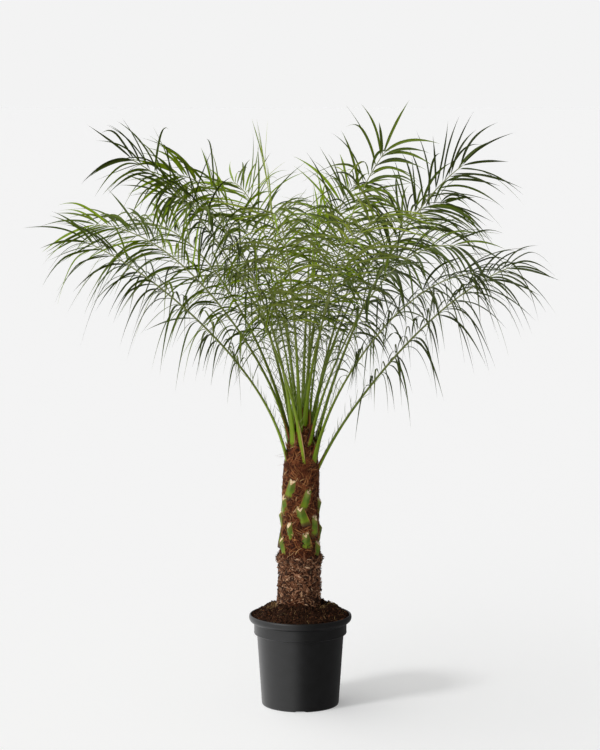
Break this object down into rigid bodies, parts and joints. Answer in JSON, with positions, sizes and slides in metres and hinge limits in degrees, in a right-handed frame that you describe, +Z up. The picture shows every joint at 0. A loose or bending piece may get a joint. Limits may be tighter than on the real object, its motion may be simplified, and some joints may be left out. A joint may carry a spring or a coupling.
{
  "type": "pygmy date palm in a nursery pot",
  "caption": "Small feather palm with one leaning fibrous trunk, cut leaf bases and a crown of arching pinnate fronds, planted in a round black nursery pot with a rolled lip.",
  "frame": {"origin": "middle of the pot's flat underside, where it stands on the floor", "axes": "+Z up along the trunk, -Y towards the viewer of the picture, +X to that viewer's right"},
  "size_m": [1.5457, 1.5061, 1.8326],
  "materials": {
    "black_plastic": "moulded black polypropylene, faintly grained, satin",
    "potting_soil": "crumbly dark brown peat, matt",
    "trunk_fibre": "matted brown leaf-sheath fibre, greyer and older near the foot, matt",
    "cut_leaf_base": "smooth green rind with a tan fibrous cut end",
    "open_leaf": "waxy green leaf, soft gloss",
    "young_leaf": "pale green folded young leaf, matt"
  },
  "bodies": {
    "root": {"pot": "black_plastic", "soil": "potting_soil", "trunk": "trunk_fibre", "leaf_base_01": "cut_leaf_base", "leaf_base_02": "cut_leaf_base", "leaf_base_03": "cut_leaf_base", "leaf_base_04": "cut_leaf_base", "leaf_base_05": "cut_leaf_base", "leaf_base_06": "cut_leaf_base", "leaf_base_07": "cut_leaf_base", "leaf_base_08": "cut_leaf_base", "leaf_base_09": "cut_leaf_base", "leaf_base_10": "cut_leaf_base", "leaf_base_11": "cut_leaf_base", "leaf_base_12": "cut_leaf_base", "leaf_base_13": "cut_leaf_base", "leaf_base_14": "cut_leaf_base", "leaf_base_15": "cut_leaf_base", "leaf_base_16": "cut_leaf_base", "leaf_base_17": "cut_leaf_base", "leaf_base_18": "cut_leaf_base", "leaf_base_20": "cut_leaf_base", "frond_01": "open_leaf", "frond_02": "open_leaf", "frond_03": "open_leaf", "frond_04": "open_leaf", "frond_05": "open_leaf", "frond_06": "open_leaf", "frond_07": "open_leaf", "frond_08": "open_leaf", "frond_09": "open_leaf", "frond_10": "open_leaf", "frond_11": "open_leaf", "frond_12": "open_leaf", "frond_13": "open_leaf", "frond_14": "open_leaf", "frond_15": "open_leaf", "frond_16": "open_leaf", "frond_17": "open_leaf", "frond_18": "open_leaf", "frond_19": "open_leaf", "spear_1": "young_leaf", "spear_2": "young_leaf"}
  },
  "joints": []
}
